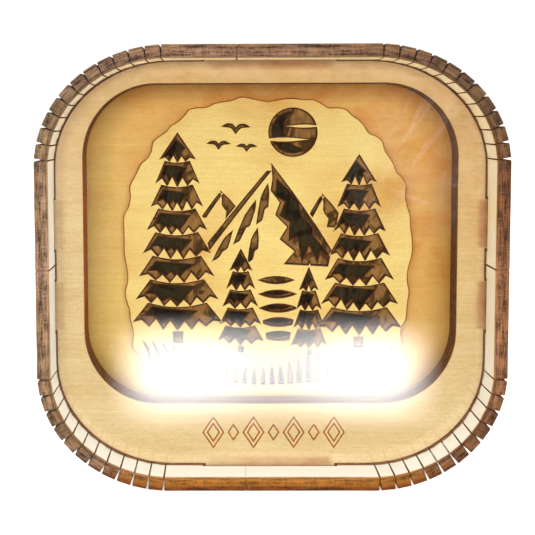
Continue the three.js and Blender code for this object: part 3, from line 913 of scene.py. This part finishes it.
def make_box():
    """Every piece of the box. Gives back the pane, which has lamps of its own."""
    veneer, edge = wall_veneer(), wall_burnt_edge()
    slit_lip = burnt_cut("burnt slit lip", colour(80, 38, 12), colour(138, 78, 32), 0.0)
    for corner in ("top_left", "top_right", "bottom_left", "bottom_right"):
        node = "wall_" + corner
        finished("bent_wall_" + corner, bent_wall(node), node, [veneer, edge, slit_lip])

    panel = panel_face()
    panel_cut = window_cut()
    toasted_line = burnt_cut("toasted line", colour(124, 60, 12), colour(190, 108, 34), 0.03)
    panel_finish = [panel, panel_cut, toasted_line]
    window_panel = cut_sheet("front_panel", SCORCHED_RIM, lozenge_row(), snug=SNUG)
    finished("window_panel", window_panel, "front_panel", panel_finish)
    window_spacer = cut_sheet("spacer_frame", SCORCHED_RIM)
    finished("window_spacer", window_spacer, "spacer_frame", panel_finish)

    # Painted shade: the pane's rim is coloured dark brown. It stands for the shaded gap round the panel and
    # for the panel's burnt edge behind it.
    pane_rim_shade = burnt_cut("pane rim shade", colour(120, 64, 22), colour(182, 116, 52), 0.0)
    pane_finish = [clear_acrylic(), pane_rim_shade]
    pane_sheet = cut_sheet("clear_pane", PANE_RIM, snug=SNUG)
    pane = finished("acrylic_pane", pane_sheet, "clear_pane", pane_finish)

    picture_cut = burnt_cut("picture burnt cut", colour(44, 22, 9), colour(112, 62, 26), 0.0)
    brown = stained_face("brown stain", colour(172, 122, 66), colour(56, 32, 13), 0.9)
    dark = stained_face("dark stain", colour(60, 51, 30), colour(20, 15, 7), 0.98)
    layers = {
        "picture_front": ("forest_front", "picture_birch", picture_face()),
        "picture_middle": ("forest_middle", "brown_stain", brown),
        "picture_ground": ("forest_ground", "dark_stain", dark),
    }
    for node, (name, slot, face) in layers.items():
        layer = cut_sheet(node, PICTURE_RIM, outer_finish=LINE)
        finished(name, layer, node, [face, picture_cut, toasted_line])

    backing_board = cut_sheet("back_panel", SCORCHED_RIM)
    finished("backing_board", backing_board, "back_panel", [back_face(), panel_cut])
    return pane


# The studio

def floor():
    """A broad floor just under the box, kept out of the pane's reflections."""
    mesh = bpy.data.meshes.new("floor")
    signs = [(-1, -1), (1, -1), (1, 1), (-1, 1)]
    corners = [(x * FLOOR_HALF, y * FLOOR_HALF, -FLOOR_DROP) for x, y in signs]
    mesh.from_pydata(corners, [], [(0, 1, 2, 3)])
    mesh.materials.append(pale_floor())
    piece = bpy.data.objects.new("floor", mesh)
    piece.visible_glossy = False
    piece.visible_transmission = False
    bpy.context.scene.collection.objects.link(piece)


def aimed(place, target):
    """A pose at a place that looks at a target."""
    look = (Vector(target) - Vector(place)).to_track_quat("-Z", "Y").to_matrix().to_4x4()
    return Matrix.Translation(place) @ look


def softbox(name, place, target, width, height, watts):
    """A rectangular lamp at a place, turned to a target."""
    data = bpy.data.lights.new(name, "AREA")
    data.shape = "RECTANGLE"
    data.size, data.size_y = width, height
    data.energy = watts
    lamp = bpy.data.objects.new(name, data)
    lamp.matrix_world = aimed(place, target)
    lamp.visible_camera = False
    bpy.context.scene.collection.objects.link(lamp)
    return lamp


def two_lobes(lamp):
    """The strength of a softbox that fades out towards its edges and dips in the middle."""
    lamp.data.use_nodes = True
    tree = lamp.data.node_tree
    across = add(tree, "ShaderNodeNewGeometry").outputs["Parametric"]
    offset = vector_calc(tree, "SUBTRACT", across, (0.5, 0.5, 0))
    apart = axes(tree, vector_calc(tree, "ABSOLUTE", stretch(tree, offset, (2, 2, 0))))
    fade = times(tree, spread(tree, apart["X"], 1.0, 0.62), spread(tree, apart["Y"], 1.0, 0.1))
    return times(tree, fade, spread(tree, apart["X"], 0.0, 0.5, 0.62, 1.0))


def only_mirrored(lamp, strength):
    """Shows a softbox in mirror images and keeps its light off the wood behind the pane."""
    lamp.data.use_nodes = True
    tree = lamp.data.node_tree
    past_wood = add(tree, "ShaderNodeLightPath").outputs["Diffuse Depth"]
    mirrored = times(tree, calc(tree, "LESS_THAN", past_wood, 0.5), strength)
    tree.links.new(mirrored, tree.nodes["Emission"].inputs["Strength"])


def white_room():
    """An even white room. Only the side behind the camera is dark, so that the pane stays clear."""
    world = bpy.data.worlds.new("white room")
    world.use_nodes = True
    tree = world.node_tree
    direction = add(tree, "ShaderNodeTexCoord").outputs["Generated"]
    behind = axes(tree, direction)["Y"]
    lit = add(tree, "ShaderNodeBackground", {
        "Color": (1, 1, 1, 1),
        "Strength": spread(tree, behind, -0.9, -0.55, DARK_SIDE_LIGHT, ROOM_LIGHT),
    })
    seen = add(tree, "ShaderNodeBackground", {"Color": (1, 1, 1, 1), "Strength": BACKDROP_LIGHT})
    camera_ray = add(tree, "ShaderNodeLightPath").outputs["Is Camera Ray"]
    room = add(tree, "ShaderNodeMixShader", {0: camera_ray, 1: lit.outputs[0], 2: seen.outputs[0]})
    tree.links.new(room.outputs[0], tree.nodes["World Output"].inputs["Surface"])
    bpy.context.scene.world = world


def shines_on(lamp, piece, how="INCLUDE"):
    """Keeps a lamp to one piece of the box, or off it."""
    lit = bpy.data.collections.new(lamp.name + "_lights")
    lit.objects.link(piece)
    lit.collection_objects[0].light_linking.link_state = how
    lamp.light_linking.receiver_collection = lit


def studio(pane):
    """Floor, room and lamps. Two of the lamps show only as reflections on the pane."""
    floor()
    white_room()
    bpy.context.scene.view_settings.view_transform = "Standard"
    softbox("overhead_light", OVERHEAD_PLACE, BOX_MIDDLE, 0.5, 0.4, OVERHEAD_WATTS)
    front = softbox("front_light", FRONT_PLACE, BOX_MIDDLE, 0.7, 0.5, FRONT_WATTS)
    front.data.cycles.use_multiple_importance_sampling = False
    shines_on(front, pane, "EXCLUDE")
    straight_behind = (GLARE_PLACE.x, 0.0, GLARE_PLACE.z)
    glare = softbox("low_glare", GLARE_PLACE, straight_behind, 0.126, 0.046, GLARE_WATTS)
    smear = softbox("smear_light", SMEAR_PLACE, BOX_MIDDLE, 0.25, 0.25, SMEAR_WATTS)
    for lamp in (glare, smear):
        lamp.visible_diffuse = False
        lamp.visible_transmission = False
        shines_on(lamp, pane)
    only_mirrored(glare, two_lobes(glare))
    only_mirrored(smear, 1.0)


def photo_camera():
    """The camera where the photograph was taken, level with the upper part of the box."""
    data = bpy.data.cameras.new("photo_camera")
    data.sensor_width = SENSOR_WIDTH
    data.lens = FOCAL_LENGTH
    data.shift_x, data.shift_y = LENS_SHIFT
    data.clip_start = 0.01
    camera = bpy.data.objects.new("photo_camera", data)
    yaw = Matrix.Rotation(math.radians(CAMERA_YAW), 4, "Z")
    pitch = Matrix.Rotation(math.radians(90 + CAMERA_PITCH), 4, "X")
    roll = Matrix.Rotation(math.radians(CAMERA_ROLL), 4, "Z")
    camera.matrix_world = Matrix.Translation(CAMERA_PLACE) @ yaw @ pitch @ roll
    bpy.context.scene.collection.objects.link(camera)
    bpy.context.scene.camera = camera


photo_camera()
studio(make_box())
